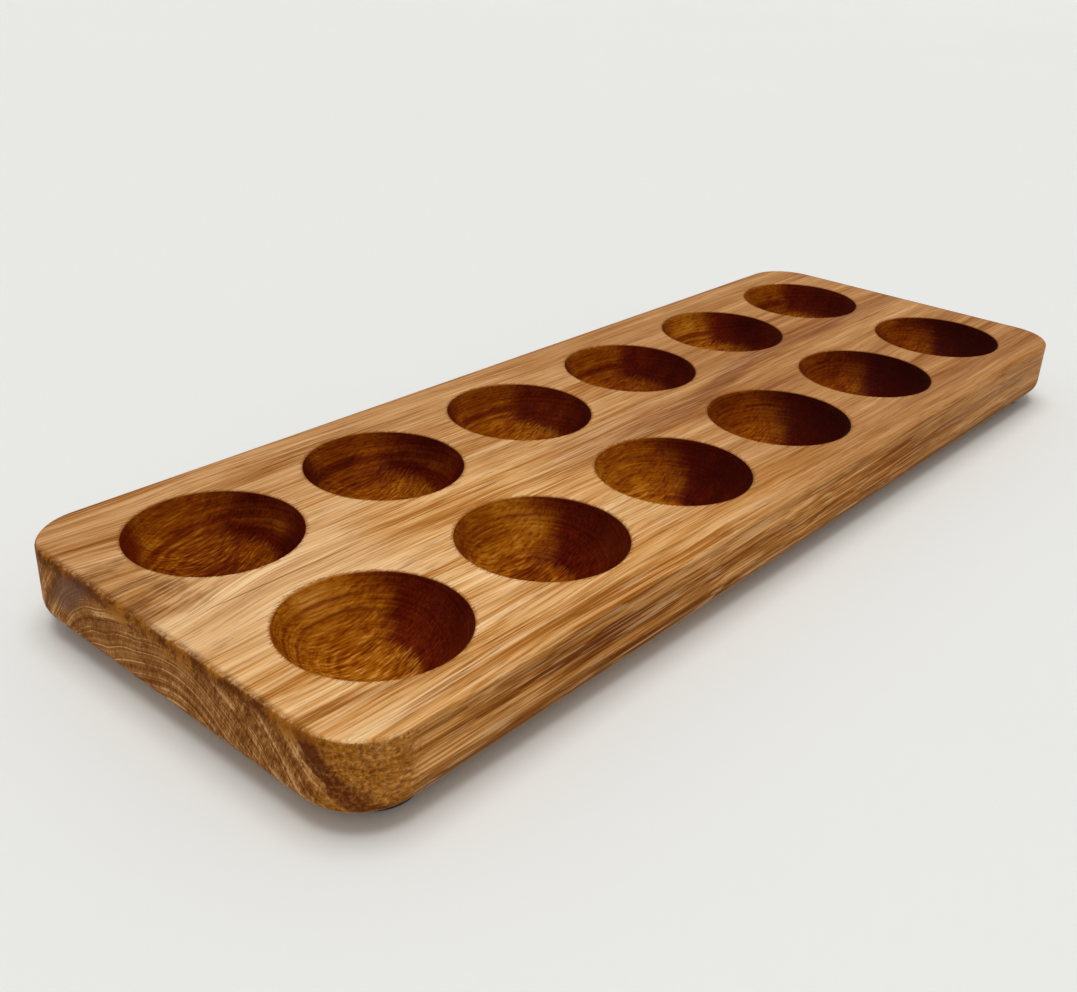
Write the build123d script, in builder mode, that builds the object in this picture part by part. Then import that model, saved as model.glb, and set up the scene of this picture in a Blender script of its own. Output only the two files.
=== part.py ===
from build123d import *
import os

# Wooden tray board with twelve round scooped cups in two rows of six, standing
# on four low round rubber feet, each held by one countersunk wood screw.
# Millimetres, +Z up. The origin is on the surface that the feet rest on, under
# the centre of the board. +X runs along the board and along the grain of the
# wood, +Y across it. The -Y long side is the front and the -X end is the left.

# --- Board -------------------------------------------------------------------
board_length = 346.0  # overall, along the grain
board_width = 123.5  # overall, across the grain
board_thickness = 19.5
plan_corner_radius = 16.0  # vertical corners, seen from above
top_edge_radius = 1.2  # eased upper edge
bottom_edge_radius = 5.0  # wider roundover on the lower edge, a finger grip

# --- Cups --------------------------------------------------------------------
cups_along = 6
cups_across = 2
cup_pitch_along = 55.2
cup_pitch_across = 57.6
cup_mouth_radius = 22.0
cup_depth = 14.5
cup_lip_radius = 0.4  # sanded lip around each mouth

# A ball cutter of this radius leaves a scoop as wide as the mouth.
cup_sphere_radius = (cup_mouth_radius**2 + cup_depth**2) / (2 * cup_depth)

# --- Rubber feet -------------------------------------------------------------
foot_radius = 10.0
foot_height = 3.5
foot_edge_radius = 0.7  # rounded lower edge
foot_inset_end = 18.5  # foot centre from the end of the board
foot_inset_side = 15.0  # foot centre from the long side of the board

# --- Countersunk wood screws, 3 x 12 -----------------------------------------
screw_shank_radius = 1.5
screw_head_radius = 2.75
screw_head_height = 1.5
screw_length = 12.0
screw_tip_length = 2.5
screw_tip_radius = 0.2
screw_recess = 0.7  # head sits this far above the foot's lower face
cross_slot_length = 3.0
cross_slot_width = 0.75
cross_slot_depth = 1.0

# --- Levels ------------------------------------------------------------------
underside_z = foot_height
top_z = underside_z + board_thickness
head_face_z = screw_recess
head_neck_z = head_face_z + screw_head_height
screw_end_z = head_face_z + screw_length
tip_start_z = screw_end_z - screw_tip_length

foot_x = board_length / 2 - foot_inset_end
foot_y = board_width / 2 - foot_inset_side
foot_places = {
    "foot_front_left": (-foot_x, -foot_y),
    "foot_front_right": (foot_x, -foot_y),
    "foot_back_left": (-foot_x, foot_y),
    "foot_back_right": (foot_x, foot_y),
}

os.makedirs("parts", exist_ok=True)

# --- Board: one solid plank --------------------------------------------------
with BuildPart() as board:
    with BuildSketch(Plane.XY.offset(underside_z)):
        RectangleRounded(board_length, board_width, plan_corner_radius)
    extrude(amount=board_thickness)
    fillet(board.faces().sort_by(Axis.Z)[-1].edges(), radius=top_edge_radius)
    fillet(board.faces().sort_by(Axis.Z)[0].edges(), radius=bottom_edge_radius)

    # Cups scooped by a ball cutter, its centre above the top face.
    with Locations(Plane.XY.offset(top_z + cup_sphere_radius - cup_depth)):
        with GridLocations(cup_pitch_along, cup_pitch_across, cups_along, cups_across):
            Sphere(cup_sphere_radius, mode=Mode.SUBTRACT)

    # Sanded lip: only the round mouth edges have the mouth's radius.
    mouth_edges = [
        edge
        for edge in board.edges().filter_by(GeomType.CIRCLE)
        if abs(edge.radius - cup_mouth_radius) < 0.05
        and abs(edge.center().Z - top_z) < 0.05
    ]
    fillet(mouth_edges, radius=cup_lip_radius)

    # Screw holes in the underside: as wide as the screw's thread, pointed.
    for x, y in foot_places.values():
        with BuildSketch(Plane(origin=(x, y, 0), x_dir=(1, 0, 0), z_dir=(0, -1, 0))):
            Polygon(
                (0, underside_z - 1.0),
                (screw_shank_radius, underside_z - 1.0),
                (screw_shank_radius, tip_start_z),
                (screw_tip_radius, screw_end_z),
                (0, screw_end_z + 0.3),
                align=None,
            )
        revolve(axis=Axis((x, y, 0), (0, 0, 1)), mode=Mode.SUBTRACT)

board.part.label = "board"
export_step(board.part, "parts/board.step")

# --- Feet: one moulded round rubber foot near each corner ---------------------
for foot_name, (x, y) in foot_places.items():
    with BuildPart() as foot:
        with BuildSketch(Plane.XY) as foot_outline:
            with Locations((x, y)):
                Circle(foot_radius)
        extrude(amount=foot_height)
        fillet(foot.faces().sort_by(Axis.Z)[0].edges(), radius=foot_edge_radius)
        # Stepped hole: a round recess, the seat of the screw head, a clear hole.
        with BuildSketch(Plane(origin=(x, y, 0), x_dir=(1, 0, 0), z_dir=(0, -1, 0))):
            Polygon(
                (0, -1.0),
                (screw_head_radius, -1.0),
                (screw_head_radius, head_face_z),
                (screw_shank_radius, head_neck_z),
                (screw_shank_radius, foot_height + 1.0),
                (0, foot_height + 1.0),
                align=None,
            )
        revolve(axis=Axis((x, y, 0), (0, 0, 1)), mode=Mode.SUBTRACT)
    foot.part.label = foot_name
    export_step(foot.part, "parts/" + foot_name + ".step")

# --- Screws: four alike, one under each foot ----------------------------------
with BuildPart() as foot_screws:
    for x, y in foot_places.values():
        with BuildSketch(Plane(origin=(x, y, 0), x_dir=(1, 0, 0), z_dir=(0, -1, 0))):
            Polygon(
                (0, head_face_z),
                (screw_head_radius, head_face_z),
                (screw_shank_radius, head_neck_z),
                (screw_shank_radius, tip_start_z),
                (screw_tip_radius, screw_end_z),
                (0, screw_end_z),
                align=None,
            )
        revolve(axis=Axis((x, y, 0), (0, 0, 1)))
    # Cross recess for the screwdriver.
    with BuildSketch(Plane.XY.offset(head_face_z)) as cross:
        with Locations(*foot_places.values()):
            Rectangle(cross_slot_length, cross_slot_width)
            Rectangle(cross_slot_width, cross_slot_length)
    extrude(amount=cross_slot_depth, taper=12, mode=Mode.SUBTRACT)

foot_screws.part.label = "foot_screws"
export_step(foot_screws.part, "parts/foot_screws.step")

print("board", board.part.bounding_box().size, "volume", round(board.part.volume))
print("cup sphere radius", round(cup_sphere_radius, 3), "mouth edges", len(mouth_edges))
print("screws", len(foot_screws.part.solids()), "board top at", top_z)
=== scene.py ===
import math

import bpy
from mathutils import Matrix, Vector

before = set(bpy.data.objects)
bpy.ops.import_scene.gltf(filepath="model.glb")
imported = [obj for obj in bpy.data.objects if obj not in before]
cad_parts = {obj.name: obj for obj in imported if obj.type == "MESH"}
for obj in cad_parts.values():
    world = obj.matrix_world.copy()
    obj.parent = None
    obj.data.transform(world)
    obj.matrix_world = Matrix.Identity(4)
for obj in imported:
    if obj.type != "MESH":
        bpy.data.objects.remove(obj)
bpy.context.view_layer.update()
scene = bpy.context.scene


# --- Node building -------------------------------------------------------------
class Tree:
    """A material's node tree, built from short calls. Values are sockets or numbers."""

    def __init__(self, name):
        self.material = bpy.data.materials.new(name)
        self.material.use_nodes = True
        self.tree = self.material.node_tree
        self.tree.nodes.clear()

    def node(self, kind, **settings):
        made = self.tree.nodes.new(kind)
        for key, value in settings.items():
            setattr(made, key, value)
        return made

    def put(self, socket, value):
        if isinstance(value, bpy.types.NodeSocket):
            self.tree.links.new(value, socket)
        else:
            socket.default_value = value

    def math(self, operation, a, b=None, c=None, clamp=False):
        made = self.node("ShaderNodeMath", operation=operation, use_clamp=clamp)
        for socket, value in zip(made.inputs, (a, b, c)):
            if value is not None:
                self.put(socket, value)
        return made.outputs[0]

    def add(self, a, b):
        return self.math("ADD", a, b)

    def sub(self, a, b):
        return self.math("SUBTRACT", a, b)

    def mul(self, a, b):
        return self.math("MULTIPLY", a, b)

    def vector(self, x, y, z):
        made = self.node("ShaderNodeCombineXYZ")
        for socket, value in zip(made.inputs, (x, y, z)):
            self.put(socket, value)
        return made.outputs[0]

    def noise(self, vector, scale=1.0, detail=2.0, roughness=0.5, colour=False):
        made = self.node("ShaderNodeTexNoise")
        self.put(made.inputs["Vector"], vector)
        made.inputs["Scale"].default_value = scale
        made.inputs["Detail"].default_value = detail
        made.inputs["Roughness"].default_value = roughness
        return made.outputs["Color" if colour else "Fac"]

    def noise_1d(self, w, detail=2.0, roughness=0.5):
        made = self.node("ShaderNodeTexNoise", noise_dimensions="1D")
        self.put(made.inputs["W"], w)
        made.inputs["Scale"].default_value = 1.0
        made.inputs["Detail"].default_value = detail
        made.inputs["Roughness"].default_value = roughness
        return made.outputs["Fac"]

    def cells(self, vector, randomness=1.0):
        made = self.node("ShaderNodeTexVoronoi", feature="F1")
        self.put(made.inputs["Vector"], vector)
        made.inputs["Scale"].default_value = 1.0
        made.inputs["Randomness"].default_value = randomness
        return made

    def ramp(self, value, low, high, to_low=0.0, to_high=1.0, smooth=True):
        made = self.node(
            "ShaderNodeMapRange",
            interpolation_type="SMOOTHSTEP" if smooth else "LINEAR",
            clamp=True,
        )
        self.put(made.inputs["Value"], value)
        self.put(made.inputs["From Min"], low)
        self.put(made.inputs["From Max"], high)
        self.put(made.inputs["To Min"], to_low)
        self.put(made.inputs["To Max"], to_high)
        return made.outputs["Result"]

    def bump_at(self, value, centre, half, soft):
        """1 within half of centre, falling to 0 over soft either side."""
        away = self.math("ABSOLUTE", self.sub(value, centre))
        return self.ramp(away, half, self.add(half, soft) if isinstance(half, bpy.types.NodeSocket) else half + soft, 1.0, 0.0)

    def colours(self, value, stops):
        made = self.node("ShaderNodeValToRGB")
        self.put(made.inputs[0], value)
        ramp = made.color_ramp
        while len(ramp.elements) > 1:
            ramp.elements.remove(ramp.elements[-1])
        ramp.elements[0].position = stops[0][0]
        ramp.elements[0].color = (*stops[0][1], 1.0)
        for place, colour in stops[1:]:
            ramp.elements.new(place).color = (*colour, 1.0)
        return made.outputs[0]

    def mix(self, share, a, b, kind="MIX"):
        made = self.node("ShaderNodeMix", data_type="RGBA", blend_type=kind)
        self.put(made.inputs[0], share)
        for socket, value in ((made.inputs[6], a), (made.inputs[7], b)):
            self.put(socket, value if isinstance(value, bpy.types.NodeSocket) else (*value, 1.0))
        return made.outputs[2]

    def shader(self, colour, roughness, normal=None, **plain):
        made = self.node("ShaderNodeBsdfPrincipled")
        self.put(made.inputs["Base Color"], colour if isinstance(colour, bpy.types.NodeSocket) else (*colour, 1.0))
        self.put(made.inputs["Roughness"], roughness)
        if normal is not None:
            self.put(made.inputs["Normal"], normal)
        for name, value in plain.items():
            made.inputs[name].default_value = value
        out = self.node("ShaderNodeOutputMaterial")
        self.tree.links.new(made.outputs[0], out.inputs["Surface"])
        return made

    def bump(self, height, distance, strength=1.0, normal=None):
        made = self.node("ShaderNodeBump")
        self.put(made.inputs["Height"], height)
        made.inputs["Distance"].default_value = distance
        made.inputs["Strength"].default_value = strength
        if normal is not None:
            self.put(made.inputs["Normal"], normal)
        return made.outputs[0]


# --- Oiled wood ------------------------------------------------------------------
# Works in millimetres from the object's own coordinates: x along the grain, y across,
# z up. It is one solid figure, so the top, the sides, the ends and the cups all cut
# the same growth layers, fibres and pores.
def oiled_wood():
    t = Tree("oiled_wood")
    place = t.node("ShaderNodeTexCoord")
    millimetres = t.node("ShaderNodeVectorMath", operation="SCALE")
    t.put(millimetres.inputs[0], place.outputs["Object"])
    millimetres.inputs["Scale"].default_value = 1000.0
    split = t.node("ShaderNodeSeparateXYZ")
    t.put(split.inputs[0], millimetres.outputs[0])
    x, y, z = split.outputs
    facing = t.node("ShaderNodeSeparateXYZ")
    t.put(facing.inputs[0], place.outputs["Normal"])
    end_on = t.math("ABSOLUTE", facing.outputs[0])  # 1 where the fibres are cut square
    upright = t.sub(1.0, t.math("ABSOLUTE", facing.outputs[2]))
    left_end = t.ramp(facing.outputs[0], -0.35, -0.90)

    # The grain wanders a little along the plank and parts round a knot at the left end.
    drift = t.node("ShaderNodeSeparateColor")
    t.put(drift.inputs[0], t.noise(t.vector(t.mul(x, 1 / 240), t.mul(y, 1 / 75), t.mul(z, 1 / 75)), 1.0, 1.0, 0.5, True))
    wave = t.node("ShaderNodeSeparateColor")
    t.put(wave.inputs[0], t.noise(t.vector(t.mul(x, 1 / 55), t.mul(y, 1 / 16), t.mul(z, 1 / 16)), 1.0, 2.0, 0.5, True))
    from_knot = t.math("ABSOLUTE", t.sub(y, 19.0))
    at_knot = t.mul(t.ramp(x, -138.0, -176.0), t.ramp(from_knot, 40.0, 4.0))
    part = t.mul(t.mul(t.sub(y, 19.0), at_knot), -0.55)
    yw = t.add(t.add(y, part), t.add(t.mul(t.sub(drift.outputs[0], 0.5), 9.0), t.mul(t.sub(wave.outputs[0], 0.5), 4.2)))
    zw = t.add(z, t.add(t.mul(t.sub(drift.outputs[1], 0.5), 5.0), t.mul(t.sub(wave.outputs[1], 0.5), 1.8)))

    def grain(along, across, detail, roughness, shift=0.0):
        """Noise drawn out along the fibres, about 0."""
        spot = t.vector(t.add(t.mul(x, 1 / along), shift), t.mul(yw, 1 / across), t.mul(zw, 1 / across))
        return t.sub(t.noise(spot, 1.0, detail, roughness), 0.5)

    # Growth layers: arches on the left end, flattening out along the plank.
    pith_z = t.ramp(x, -176.0, -118.0, -24.0, -230.0)
    dy = t.sub(yw, -3.0)
    dz = t.sub(zw, pith_z)
    layer = t.add(t.math("SQRT", t.add(t.mul(dy, dy), t.mul(dz, dz))), pith_z)
    fine = t.sub(t.noise_1d(t.mul(layer, 1.5), 3.0, 0.6), 0.5)
    broad = t.sub(t.noise_1d(t.add(t.mul(layer, 0.33), 3.7), 1.0, 0.5), 0.5)

    streak = grain(170, 4.2, 5.0, 0.66)
    gather = t.ramp(grain(120, 8.0, 2.0, 0.5, 6.1), -0.10, 0.12, 0.35, 1.45)
    strand = t.mul(grain(95, 1.25, 3.0, 0.62, 4.4), gather)
    bands = grain(150, 12.0, 2.0, 0.5, 7.3)
    fibre = grain(36, 0.62, 3.0, 0.6, 3.1)
    hair = grain(9, 0.2, 2.0, 0.5, 1.7)
    contour = grain(230, 6.0, 2.0, 0.45, 11.9)
    line = t.ramp(t.math("ABSOLUTE", contour), 0.0, 0.020, 1.0, 0.0)
    line = t.mul(line, t.ramp(strand, -0.10, 0.10, 1.0, 0.1))

    # Pores: long thin vessels, dots where they are cut square.
    pore_cells = t.cells(t.vector(t.mul(x, 1 / 9), t.mul(yw, 1.5), t.mul(zw, 1.5)))
    crowd = grain(50, 5.0, 2.0, 0.5, 5.5)
    pore_size = t.ramp(crowd, -0.12, 0.16, 0.03, 0.22, smooth=False)
    pores = t.ramp(pore_cells.outputs["Distance"], pore_size, t.add(pore_size, 0.12), 1.0, 0.0)
    speck = t.sub(t.noise(t.vector(t.mul(x, 0.5), t.mul(y, 1.9), t.mul(z, 1.1)), 1.0, 3.0, 0.6), 0.5)

    # Place inside a cup, from the cup grid.
    cell = t.mul(t.sub(t.math("FRACT", t.mul(x, 1 / 55.2)), 0.5), 55.2)
    back_row = t.ramp(y, -0.5, 0.5)
    cross = t.sub(y, t.sub(t.mul(back_row, 57.6), 28.8))
    from_axis = t.math("SQRT", t.add(t.mul(cell, cell), t.mul(cross, cross)))
    ragged = t.noise(t.vector(t.mul(x, 0.45), t.mul(y, 2.4), 4.0), 1.0, 3.0, 0.65)
    # toward grows on the +x, -y side of each cup, the wall that faces away from the light.
    toward = t.sub(t.mul(cell, 0.8), t.mul(cross, 0.6))
    # On that side the cup colour, with its painted rim shade, reaches up to 0.5 mm further out.
    inside = t.ramp(t.sub(from_axis, t.ramp(toward, 2.0, 14.0, 0.0, 0.5)), 22.0, 22.3, 1.0, 0.0)
    on_board = t.ramp(t.math("ABSOLUTE", x), 162.0, 164.0, 1.0, 0.0)
    cup = t.mul(t.mul(inside, on_board), t.mul(t.ramp(z, 6.5, 7.5), t.ramp(z, 22.7, 22.95, 1.0, 0.0)))
    fringe = t.ramp(t.sub(t.sub(from_axis, 22.25), t.mul(t.sub(ragged, 0.50), 4.6)), 0.0, 0.25, 1.0, 0.0)
    fringe = t.mul(t.mul(fringe, on_board), t.ramp(z, 21.5, 22.5))

    # Flat faces: light and lively at the left and front, duller to the right and the back.
    flame = grain(70, 5.5, 3.0, 0.6, 8.8)
    tone = t.add(t.add(t.mul(streak, 1.3), t.mul(bands, 0.9)), t.add(t.mul(fibre, 1.0), t.mul(strand, 0.75)))
    tone = t.add(tone, t.mul(flame, 1.25))
    tone = t.add(tone, t.sub(0.52, t.mul(line, 0.20)))
    tone = t.add(t.ramp(x, -40.0, -80.0, 0.52, 0.552), t.mul(t.sub(tone, 0.52), t.ramp(x, -40.0, -110.0, 1.0, 1.30)))
    near = t.colours(
        tone,
        [
            (0.0, (0.290, 0.088, 0.008)),
            (0.24, (0.450, 0.180, 0.034)),
            (0.40, (0.560, 0.258, 0.070)),
            (0.50, (0.635, 0.322, 0.108)),
            (0.60, (0.690, 0.372, 0.140)),
            (0.76, (0.770, 0.450, 0.200)),
            (1.0, (0.870, 0.570, 0.290)),
        ],
    )
    far = t.colours(
        tone,
        [
            (0.0, (0.230, 0.070, 0.012)),
            (0.24, (0.330, 0.128, 0.032)),
            (0.50, (0.430, 0.195, 0.063)),
            (0.76, (0.505, 0.250, 0.092)),
            (1.0, (0.610, 0.330, 0.138)),
        ],
    )
    dull = t.ramp(t.add(x, t.mul(bands, 120.0)), -75.0, 45.0, 0.0, 1.0)
    edge_zone = t.ramp(t.add(y, t.mul(bands, 60.0)), 4.0, 46.0, 0.0, 0.90)
    flat_face = t.mix(t.math("MAXIMUM", dull, edge_zone), near, far)

    # Red-brown heartwood between the rows, forking towards the right end, and by the front.
    fork = t.ramp(x, -5.0, 75.0)
    wander = t.add(t.mul(t.sub(wave.outputs[0], 0.5), 5.0), t.mul(t.sub(drift.outputs[0], 0.5), 8.0))
    upper = t.sub(t.add(y, wander), t.add(-7.5, t.mul(fork, 12.0)))
    upper = t.ramp(t.math("ABSOLUTE", upper), 1.4, t.ramp(x, -20.0, 70.0, 7.5, 5.0), 1.0, 0.0)
    upper = t.mul(upper, t.mul(t.ramp(x, -78.0, 2.0), t.ramp(x, 10.0, 165.0, 1.0, 0.62)))
    lower = t.sub(t.add(y, wander), t.add(-12.5, t.mul(t.ramp(x, 5.0, 110.0), -7.0)))
    lower = t.mul(t.ramp(t.math("ABSOLUTE", lower), 0.4, 4.2, 1.0, 0.0), t.mul(t.ramp(x, -6.0, 14.0), t.ramp(x, 20.0, 90.0, 0.85, 0.45)))
    front = t.sub(t.add(y, t.mul(wander, 0.5)), -51.5)
    front = t.mul(t.ramp(t.math("ABSOLUTE", front), 0.3, t.ramp(x, 60.0, 150.0, 3.4, 9.0), 1.0, 0.0), t.mul(t.ramp(x, 30.0, 75.0), 0.60))
    heart = t.math("MAXIMUM", t.math("MAXIMUM", upper, lower), front)
    heart = t.mul(heart, t.ramp(t.add(t.add(streak, fibre), strand), -0.22, 0.18, 1.0, 0.58))
    flat_face = t.mix(t.mul(heart, 0.90), flat_face, (0.190, 0.052, 0.018))
    ruddy = t.ramp(t.math("ABSOLUTE", t.add(t.add(y, t.mul(wander, 1.3)), 0.5)), 2.0, 10.0, 1.0, 0.0)
    ruddy = t.mul(t.mul(ruddy, t.ramp(x, -66.0, -34.0)), t.ramp(x, -4.0, 24.0, 1.0, 0.0))
    flat_face = t.mix(t.mul(ruddy, t.ramp(t.add(streak, strand), -0.20, 0.20, 0.85, 0.35)), flat_face, (0.310, 0.098, 0.020))

    # Dark streaks beside the near cup, and the grey-brown of the knot.
    beside_bend = t.add(t.mul(t.sub(wave.outputs[0], 0.5), 5.0), t.mul(t.sub(drift.outputs[0], 0.5), 6.0))
    beside_place = t.add(t.add(y, beside_bend), t.mul(t.add(x, 170.0), 0.20))
    beside = t.ramp(t.math("ABSOLUTE", t.add(beside_place, 44.5)), 0.5, 2.6, 1.0, 0.0)
    beside = t.mul(beside, t.ramp(x, -128.0, -150.0))
    by_edge = t.ramp(t.math("ABSOLUTE", t.add(t.add(y, beside_bend), 55.5)), 0.6, 3.6, 1.0, 0.0)
    by_edge = t.mul(by_edge, t.ramp(t.math("ABSOLUTE", t.add(x, 128.0)), 42.0, 20.0))
    thin = t.ramp(t.add(strand, fibre), -0.12, 0.12, 1.0, 0.15)
    beside = t.mul(t.math("MAXIMUM", beside, t.mul(by_edge, 0.8)), thin)
    flat_face = t.mix(t.mul(beside, 0.90), flat_face, (0.300, 0.098, 0.010))

    swirl = t.noise(t.vector(t.mul(x, 0.085), t.mul(yw, 0.17), t.mul(zw, 0.17)), 1.0, 4.0, 0.62)
    smoke = t.noise(t.vector(t.mul(x, 0.09), t.mul(yw, 0.24), 2.0), 1.0, 4.0, 0.6)
    cloudy = t.mul(t.sub(smoke, 0.5), 34.0)
    knot = t.mul(t.ramp(t.add(x, cloudy), -153.0, -165.0), t.ramp(t.math("ABSOLUTE", t.add(t.sub(y, 17.0), t.mul(cloudy, 0.4))), 19.0, 10.0))
    knot = t.mul(t.mul(knot, t.ramp(x, -150.0, -158.0)), t.ramp(z, 19.0, 22.0))
    knot_wood = t.mix(t.ramp(t.add(t.add(strand, fibre), t.sub(smoke, 0.5)), -0.18, 0.16), (0.190, 0.066, 0.012), (0.430, 0.195, 0.060))
    flat_face = t.mix(t.mul(knot, 0.88), flat_face, knot_wood)
    pale = t.mul(t.ramp(x, -104.0, -122.0), t.ramp(t.math("ABSOLUTE", t.add(y, t.mul(bands, 40.0))), 22.0, 10.0))
    flat_face = t.mix(t.mul(t.mul(pale, t.sub(1.0, knot)), 0.32), flat_face, (0.840, 0.580, 0.330))

    # Slightly deeper amber in places.
    amber = t.mul(t.ramp(t.math("ABSOLUTE", x), 62.0, 25.0), t.mul(t.ramp(y, 14.0, 2.0), 0.17))
    amber = t.math("MAXIMUM", amber, t.mul(t.mul(t.ramp(x, -84.0, -104.0), t.ramp(y, 36.0, 46.0)), 0.18))
    amber = t.math("MAXIMUM", amber, t.mul(t.mul(t.ramp(x, 100.0, 130.0), t.ramp(y, -42.0, -52.0)), 0.16))
    spot = t.mul(t.ramp(t.math("ABSOLUTE", t.add(x, 50.0)), 30.0, 8.0), t.ramp(t.math("ABSOLUTE", t.sub(y, 18.0)), 14.0, 5.0))
    amber = t.math("MAXIMUM", amber, t.mul(spot, 0.38))
    flat_face = t.mix(t.mul(amber, t.ramp(streak, 0.15, -0.15, 0.6, 1.4)), flat_face, (0.330, 0.115, 0.018))

    # Long sides: the same wood painted darker than the top, as painted shade for the lower light that falls on the
    # sides.
    side_face = t.colours(
        t.add(t.add(0.5, t.mul(t.sub(tone, 0.52), 1.10)), t.mul(fibre, 0.7)),
        [
            (0.0, (0.140, 0.030, 0.002)),
            (0.24, (0.265, 0.080, 0.007)),
            (0.42, (0.380, 0.138, 0.020)),
            (0.55, (0.450, 0.176, 0.036)),
            (0.76, (0.580, 0.255, 0.068)),
            (1.0, (0.760, 0.385, 0.130)),
        ],
    )
    # Painted sheen: the sides grow lighter towards the right end.
    side_face = t.mix(t.ramp(x, 30.0, 130.0, 0.0, 0.42), side_face, (0.620, 0.330, 0.135))
    low_stripe = t.mul(t.ramp(grain(190, 2.2, 2.0, 0.5, 2.2), 0.02, 0.10), t.ramp(z, 15.0, 9.0))
    side_face = t.mix(t.mul(low_stripe, 0.38), side_face, (0.130, 0.034, 0.005))
    # Painted shade: the lowest part of the sides and the bottom roundover go dark brown, standing in for the shadow
    # beneath the board.
    side_face = t.mix(t.mul(t.ramp(z, 10.8, 6.5), 0.84), side_face, (0.150, 0.043, 0.0008))
    # Painted highlight: a thin bright line low on the sides, where the bottom roundover catches light from the floor.
    painted_edge_highlight = t.mul(t.bump_at(t.add(z, t.mul(streak, 2.0)), 7.9, 0.15, 0.6), t.ramp(fibre, -0.10, 0.10, 0.10, 0.40))
    side_face = t.mix(painted_edge_highlight, side_face, (0.640, 0.330, 0.130))

    # Sawn ends: arched layers with thin pale lines, pores and a darker, oil-soaked top edge.
    arch = t.ramp(t.math("ABSOLUTE", t.sub(t.noise_1d(t.add(t.mul(layer, 0.40), 9.1), 1.0, 0.4), 0.5)), 0.0, 0.050, 1.0, 0.0)
    hatch = t.sub(t.noise(t.vector(t.mul(x, 0.5), t.add(t.mul(y, 1.5), t.mul(z, 0.5)), t.mul(z, 0.42)), 1.0, 3.0, 0.65), 0.5)
    hatch = t.mul(hatch, t.ramp(y, 5.0, -30.0, 0.7, 1.9))
    end_tone = t.add(t.add(t.mul(fine, 0.8), t.mul(broad, 0.8)), t.add(t.add(t.mul(speck, 0.9), hatch), t.mul(t.sub(swirl, 0.5), 1.1)))
    end_tone = t.sub(t.add(end_tone, t.add(0.43, t.mul(arch, t.ramp(swirl, 0.36, 0.56, 0.20, 0.60)))), t.mul(pores, 0.16))
    cut_square = t.colours(
        end_tone,
        [
            (0.0, (0.110, 0.028, 0.002)),
            (0.24, (0.190, 0.060, 0.008)),
            (0.40, (0.250, 0.090, 0.016)),
            (0.55, (0.300, 0.118, 0.026)),
            (0.76, (0.400, 0.175, 0.052)),
            (1.0, (0.600, 0.310, 0.120)),
        ],
    )
    oily = t.ramp(t.add(z, t.mul(t.sub(swirl, 0.5), 8.0)), 18.2, 21.2)
    cut_square = t.mix(t.mul(oily, 0.85), cut_square, t.mix(t.ramp(t.add(speck, t.sub(swirl, 0.5)), -0.10, 0.12), (0.100, 0.024, 0.002), (0.370, 0.135, 0.012)))
    patch = t.mul(t.ramp(t.math("ABSOLUTE", t.sub(t.add(y, t.mul(t.sub(z, 16.0), 0.9)), 37.0)), 8.0, 2.5), t.ramp(t.add(z, t.mul(t.sub(swirl, 0.5), 10.0)), 9.0, 15.0))
    cut_square = t.mix(t.mul(t.mul(patch, left_end), 0.80), cut_square, (0.130, 0.060, 0.040))

    colour = t.mix(t.mul(t.ramp(upright, 0.15, 0.75), t.ramp(z, 22.6, 18.0, 0.45, 1.0)), flat_face, side_face)
    # Thin, crisp darker and paler threads of grain.
    thread = grain(26, 0.52, 1.0, 0.5, 7.7)
    weave = t.ramp(upright, 0.15, 0.75, t.ramp(x, -60.0, 60.0, 0.34, 0.20), 0.42)
    colour = t.mix(t.mul(t.ramp(thread, 0.06, 0.13), weave), colour, (0.180, 0.056, 0.010))
    colour = t.mix(t.mul(t.ramp(thread, -0.07, -0.15), t.mul(weave, t.ramp(x, -20.0, 60.0, 0.9, 0.5))), colour, (0.800, 0.520, 0.270))
    square = t.ramp(t.add(end_on, t.mul(speck, 0.6)), 0.40, 0.80)
    colour = t.mix(square, colour, cut_square)

    # The front corner of the left end: open pores and one maroon layer running down it.
    at_corner = t.mul(t.ramp(x, -155.0, -163.0), t.ramp(y, -40.0, -46.0))
    pits = t.noise(t.vector(t.mul(x, 0.75), t.mul(y, 1.1), t.mul(z, 1.1)), 1.0, 4.0, 0.72)
    pocked = t.mul(t.ramp(t.add(y, t.mul(t.sub(pits, 0.5), 14.0)), -47.0, -54.0), t.ramp(t.add(x, t.mul(t.sub(pits, 0.5), 16.0)), -153.0, -161.0))
    pocked = t.mul(pocked, t.ramp(upright, 0.25, 0.6))
    pocks = t.colours(
        t.add(0.50, t.mul(t.sub(pits, 0.5), 2.2)),
        [
            (0.0, (0.070, 0.016, 0.001)),
            (0.30, (0.190, 0.056, 0.005)),
            (0.50, (0.340, 0.118, 0.012)),
            (0.70, (0.490, 0.195, 0.030)),
            (1.0, (0.720, 0.390, 0.120)),
        ],
    )
    colour = t.mix(t.mul(pocked, 0.80), colour, pocks)
    seam = t.add(t.add(y, t.mul(t.sub(23.0, z), 0.72)), t.mul(t.sub(swirl, 0.5), 6.0))
    seam = t.ramp(t.math("ABSOLUTE", t.add(seam, 46.3)), 1.6, 3.6, 1.0, 0.0)
    seam = t.mul(t.mul(seam, at_corner), t.ramp(upright, 0.15, 0.5))
    colour = t.mix(t.mul(seam, t.ramp(pits, 0.40, 0.64, 0.95, 0.62)), colour, (0.100, 0.020, 0.004))

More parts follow.
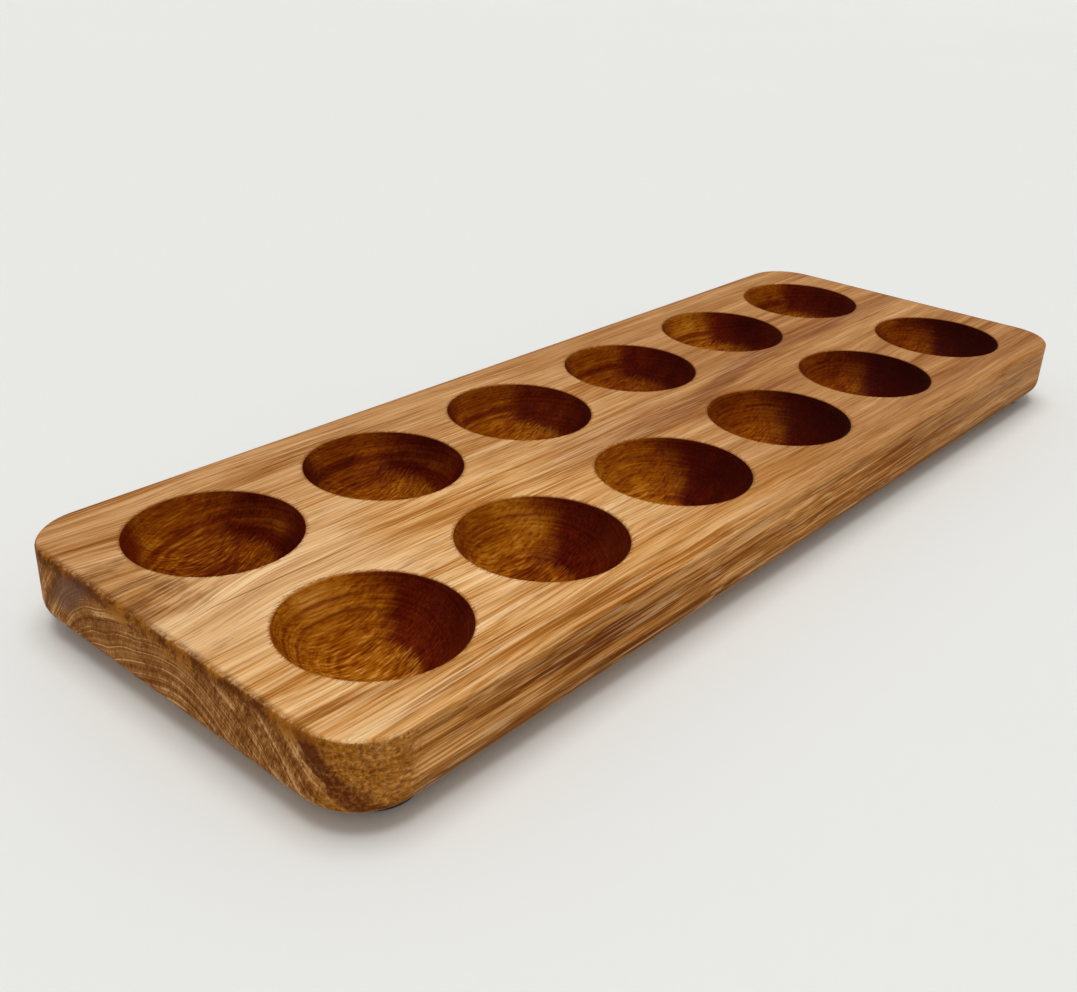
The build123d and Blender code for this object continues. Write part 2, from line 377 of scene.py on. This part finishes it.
    # Darker oil line on the crease of the ends and of the back edge.
    ends = t.ramp(t.add(t.math("ABSOLUTE", x), t.mul(t.sub(pits, 0.5), 3.6)), 170.5, 172.1)
    crease = t.mul(t.ramp(t.add(z, t.mul(t.sub(pits, 0.5), 3.6)), 20.0, 21.5), t.math("MAXIMUM", ends, t.mul(t.ramp(y, 60.2, 61.2), 0.75)))
    colour = t.mix(t.mul(crease, t.ramp(pits, 0.36, 0.62, 0.95, 0.35)), colour, t.mix(t.ramp(swirl, 0.4, 0.6), (0.105, 0.026, 0.003), (0.270, 0.085, 0.006)))

    # Cups: golden brown, with short dark fibre ends, cut through by maroon layers. Their right-hand walls also carry
    # painted shade: maroon crescents, a darker rim and a near-black wedge.
    dash = t.noise(t.vector(t.mul(x, 1 / 3.8), t.mul(yw, 1.9), t.mul(zw, 0.8)), 1.0, 1.0, 0.5)
    blotch = t.noise(t.vector(t.mul(x, 1 / 24), t.mul(y, 1 / 17), t.mul(z, 1 / 14)), 1.0, 2.0, 0.5)
    cup_tone = t.add(t.add(t.mul(streak, 0.6), t.mul(fibre, 0.5)), t.add(t.mul(fine, 0.45), t.mul(t.sub(blotch, 0.5), 1.1)))
    reach = t.add(t.mul(cell, 0.0415), t.mul(cross, -0.022))
    floor_of_cup = t.ramp(from_axis, 19.0, 9.0)
    cup_tone = t.sub(t.add(cup_tone, 0.50), t.mul(t.ramp(dash, 0.56, 0.68), t.add(0.14, t.mul(floor_of_cup, 0.12))))
    cup_tone = t.add(cup_tone, t.mul(t.ramp(dash, 0.46, 0.32), t.mul(t.add(0.08, t.mul(floor_of_cup, 0.20)), t.ramp(x, -120.0, -40.0, 1.0, 0.55))))
    # Painted light: from the second pair of cups on, the cups are a little lighter on the -x, +y walls, which face the
    # light.
    cup_tone = t.add(cup_tone, t.mul(t.mul(t.ramp(x, -100.0, -40.0), t.ramp(reach, 0.3, -0.4)), 0.09))
    # Front row: darker towards the right end, painted shade, as the walls seen in those cups face away from the light.
    # Back row: darker throughout, a little less to the right.
    cup_tone = t.sub(cup_tone, t.add(t.mul(t.sub(1.0, back_row), t.add(t.ramp(x, -75.0, 20.0, 0.0, 0.22), t.ramp(x, 0.0, 60.0, 0.0, 0.06))), t.mul(back_row, t.ramp(x, -60.0, 120.0, 0.19, 0.13))))
    gold = t.colours(
        cup_tone,
        [
            (0.0, (0.090, 0.010, 0.0005)),
            (0.24, (0.170, 0.030, 0.001)),
            (0.40, (0.235, 0.052, 0.001)),
            (0.50, (0.300, 0.082, 0.002)),
            (0.60, (0.375, 0.116, 0.005)),
            (0.76, (0.500, 0.185, 0.018)),
            (1.0, (0.680, 0.330, 0.080)),
        ],
    )
    red = t.colours(
        t.sub(cup_tone, 0.05),
        [
            (0.0, (0.034, 0.0015, 0.0005)),
            (0.30, (0.078, 0.004, 0.0005)),
            (0.50, (0.125, 0.009, 0.0010)),
            (0.76, (0.200, 0.022, 0.0018)),
            (1.0, (0.300, 0.060, 0.008)),
        ],
    )
    wobble = t.add(t.mul(t.sub(blotch, 0.5), 9.0), t.add(t.mul(t.add(streak, t.mul(fine, 0.8)), 5.0), t.mul(t.sub(dash, 0.5), 6.0)))
    right_part = t.math("MAXIMUM", cell, 0.0)
    curve = t.add(t.mul(t.mul(right_part, right_part), 0.028), t.ramp(x, -110.0, -50.0, 3.6, 1.2))
    below = t.ramp(t.add(t.sub(cross, curve), t.mul(wobble, 1.1)), 4.2, -3.8)
    inner = t.ramp(x, -110.0, -30.0, 8.8, 4.0)
    ring = t.ramp(t.sub(t.add(from_axis, t.mul(wobble, 0.5)), inner), -0.5, 2.8)
    # Front row: maroon on the right and lower walls. This is partly a growth layer and partly painted shade on the
    # walls away from the light.
    front_maroon_and_shade = t.mul(t.mul(below, ring), t.ramp(cell, -4.0, 3.0))
    # Back row: a maroon crescent on the right wall, painted shade laid over the wood's own maroon layer.
    back_maroon_and_shade = t.mul(t.ramp(t.add(from_axis, t.mul(wobble, 0.4)), 13.2, 15.8), t.ramp(toward, -3.0, 5.0))
    brown_wall = t.mul(t.ramp(from_axis, 16.8, 18.6), t.mul(t.ramp(x, 0.0, -50.0), t.ramp(cross, -10.0, 0.0)))
    back_maroon_and_shade = t.mul(back_maroon_and_shade, t.sub(1.0, t.mul(brown_wall, 0.65)))
    left_rim = t.mul(t.ramp(t.add(from_axis, t.mul(wobble, 0.3)), 16.4, 19.4), t.ramp(t.add(cell, t.mul(cross, 0.3)), -2.0, -10.0))
    back_maroon_and_shade = t.math("MAXIMUM", back_maroon_and_shade, t.mul(left_rim, 0.95))
    maroon_and_shade = t.add(t.mul(front_maroon_and_shade, t.sub(1.0, back_row)), t.mul(back_maroon_and_shade, back_row))
    low_red = t.mul(t.mul(t.ramp(cell, -1.0, 6.0), t.ramp(cross, 3.0, -4.0)), t.ramp(x, -60.0, -100.0, 0.0, 0.48))
    maroon_and_shade = t.math("MAXIMUM", maroon_and_shade, t.mul(low_red, t.ramp(t.add(streak, t.sub(blotch, 0.5)), -0.12, 0.12, 1.0, 0.35)))
    upper_line = t.bump_at(t.add(layer, t.mul(streak, 3.0)), 16.0, 0.10, 0.60)
    maroon_and_shade = t.math("MAXIMUM", maroon_and_shade, t.mul(upper_line, t.ramp(x, -60.0, -100.0, 0.0, 0.62)))
    maroon_and_shade = t.mul(maroon_and_shade, 0.97)
    rim_line = t.mul(t.bump_at(t.add(layer, t.mul(streak, 2.4)), 18.7, 0.10, 0.75), t.ramp(blotch, 0.38, 0.62, 0.10, 0.70))
    # Painted shade just inside the right-hand rim. From here on rim_line carries it together with the thin layer line.
    right_rim_shade = t.mul(t.ramp(t.add(from_axis, t.mul(streak, 4.0)), 18.4, 21.0), t.ramp(toward, -6.0, 8.0, 0.0, 0.90))
    rim_line = t.math("MAXIMUM", rim_line, right_rim_shade)
    rim_band = t.mul(t.bump_at(t.add(layer, t.mul(streak, 2.0)), 20.9, 0.5, 1.1), t.mul(back_row, 0.80))
    maroon_and_shade = t.math("MAXIMUM", maroon_and_shade, t.math("MAXIMUM", rim_line, rim_band))
    scooped = t.mix(maroon_and_shade, gold, red)
    # Painted shade: the walls on the +x, -y side of each cup, away from the light, darken towards near black. This is
    # stronger in the cups to the right and in the front row.
    painted_cup_shade = t.mul(t.ramp(t.add(reach, t.mul(t.sub(blotch, 0.5), 0.6)), 0.10, 0.98), t.ramp(x, -150.0, 150.0, 0.52, 1.0))
    painted_cup_shade = t.mul(painted_cup_shade, t.sub(0.92, t.mul(back_row, 0.30)))
    scooped = t.mix(painted_cup_shade, scooped, (0.020, 0.002, 0.001))
    colour = t.mix(t.mul(fringe, 0.70), colour, (0.230, 0.080, 0.010))
    colour = t.mix(cup, colour, scooped)

    open_pores = t.mul(pores, t.mul(t.sub(1.0, t.mul(cup, 0.5)), t.add(0.26, t.mul(square, 0.30))))
    colour = t.mix(open_pores, colour, (0.095, 0.030, 0.006))

    relief = t.add(t.mul(hair, 0.5), t.mul(fibre, 0.9))
    relief = t.add(relief, t.mul(t.mul(dash, cup), 1.2))
    relief = t.sub(relief, t.mul(pores, 0.9))
    normal = t.bump(relief, 0.00008)
    roughness = t.add(t.add(0.46, t.mul(pores, 0.20)), t.mul(cup, 0.08))
    t.shader(colour, roughness, normal, **{"Specular IOR Level": 0.012})
    return t.material


def black_rubber():
    t = Tree("black_rubber")
    place = t.node("ShaderNodeTexCoord")
    grain = t.noise(place.outputs["Object"], 2400.0, 3.0, 0.6)
    dust = t.noise(place.outputs["Object"], 260.0, 3.0, 0.55)
    colour = t.mix(t.ramp(dust, 0.45, 0.75), (0.012, 0.012, 0.012), (0.040, 0.038, 0.036))
    normal = t.bump(grain, 0.00004, 0.5)
    t.shader(colour, t.ramp(dust, 0.3, 0.7, 0.62, 0.80), normal)
    return t.material


def screw_steel():
    t = Tree("screw_steel")
    place = t.node("ShaderNodeTexCoord")
    marks = t.noise(place.outputs["Object"], 3000.0, 2.0, 0.5)
    stain = t.noise(place.outputs["Object"], 420.0, 3.0, 0.6)
    colour = t.mix(t.ramp(stain, 0.4, 0.75), (0.66, 0.66, 0.67), (0.42, 0.40, 0.38))
    t.shader(colour, t.ramp(stain, 0.35, 0.7, 0.26, 0.48), t.bump(marks, 0.00002, 0.4), Metallic=1.0)
    return t.material


materials = {
    "board": oiled_wood(),
    "rubber": black_rubber(),
    "steel": screw_steel(),
}
for name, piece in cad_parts.items():
    kind = "board" if name == "board" else "steel" if name == "foot_screws" else "rubber"
    piece.data.materials.clear()
    piece.data.materials.append(materials[kind])


# --- Floor and light ----------------------------------------------------------------
def floor():
    """A pale sweep: flat under the object, rising all round far away."""
    rings = [(0.0, 0.0)]
    rings += [(0.25 * i, 0.0) for i in range(1, 17)]
    radius, rise = rings[-1][0], 2.6
    for i in range(1, 25):
        a = math.radians(80.0) * i / 24
        rings.append((radius + rise * math.sin(a), rise * (1 - math.cos(a))))
    foot, height = rings[-1]
    rings += [(foot + 0.08 * i, height + 0.46 * i) for i in range(1, 6)]
    steps = 96
    points, faces = [(0.0, 0.0, 0.0)], []
    for r, h in rings[1:]:
        points += [(r * math.cos(2 * math.pi * k / steps), r * math.sin(2 * math.pi * k / steps), h) for k in range(steps)]
    for k in range(steps):
        faces.append((0, 1 + k, 1 + (k + 1) % steps))
    for j in range(len(rings) - 2):
        a, b = 1 + j * steps, 1 + (j + 1) * steps
        for k in range(steps):
            n = (k + 1) % steps
            faces.append((a + k, b + k, b + n, a + n))
    mesh = bpy.data.meshes.new("floor")
    mesh.from_pydata(points, [], faces)
    mesh.polygons.foreach_set("use_smooth", [True] * len(mesh.polygons))
    made = bpy.data.objects.new("floor", mesh)
    scene.collection.objects.link(made)
    t = Tree("pale_floor")
    place = t.node("ShaderNodeTexCoord")
    soft = t.noise(place.outputs["Object"], 3.0, 2.0, 0.5)
    t.shader(t.mix(soft, (0.79, 0.80, 0.785), (0.81, 0.815, 0.80)), 0.62, None, **{"Specular IOR Level": 0.25})
    mesh.materials.append(t.material)


floor()

world = bpy.data.worlds.new("studio")
scene.world = world
world.use_nodes = True
background = world.node_tree.nodes.get("Background") or world.node_tree.nodes.new("ShaderNodeBackground")
background.inputs[0].default_value = (1.0, 0.995, 0.985, 1.0)
background.inputs[1].default_value = 0.385


def soft_sun(name, azimuth, elevation, spread, power, tint=(1.0, 1.0, 1.0)):
    """azimuth is the direction from the object to the light, anticlockwise from +X, in degrees."""
    a, e = math.radians(azimuth), math.radians(elevation)
    way = Vector((math.cos(a) * math.cos(e), math.sin(a) * math.cos(e), math.sin(e)))
    data = bpy.data.lights.new(name, "SUN")
    data.angle = math.radians(spread)
    data.energy = power
    data.color = tint
    made = bpy.data.objects.new(name, data)
    made.location = way * 2.0
    made.rotation_mode = "QUATERNION"
    made.rotation_quaternion = way.to_track_quat("Z", "Y")
    scene.collection.objects.link(made)
    return made


soft_sun("key", 60.0, 87.0, 38.0, 1.76, (1.0, 0.99, 0.975))
soft_sun("fill", 222.0, 25.0, 70.0, 0.39)

# --- Camera -----------------------------------------------------------------------
right = Vector((0.66029389, -0.74988041, 0.04112595))
down = Vector((-0.31174033, -0.32349463, -0.89340315))
ahead = Vector((0.68324955, 0.57708803, -0.44736949))
camera_data = bpy.data.cameras.new("camera")
camera_data.sensor_width = 36.0
camera_data.sensor_fit = "HORIZONTAL"
camera_data.lens = 40.9712
camera_data.clip_start, camera_data.clip_end = 0.01, 30.0
camera = bpy.data.objects.new("camera", camera_data)
camera.matrix_world = Matrix(
    (
        (right[0], -down[0], -ahead[0], -0.28648927),
        (right[1], -down[1], -ahead[1], -0.19899752),
        (right[2], -down[2], -ahead[2], 0.16673165),
        (0.0, 0.0, 0.0, 1.0),
    )
)
scene.collection.objects.link(camera)
scene.camera = camera
scene.view_settings.view_transform = "Standard"

# --- Update the view layer -----------------------------------------------------------
bpy.context.view_layer.update()
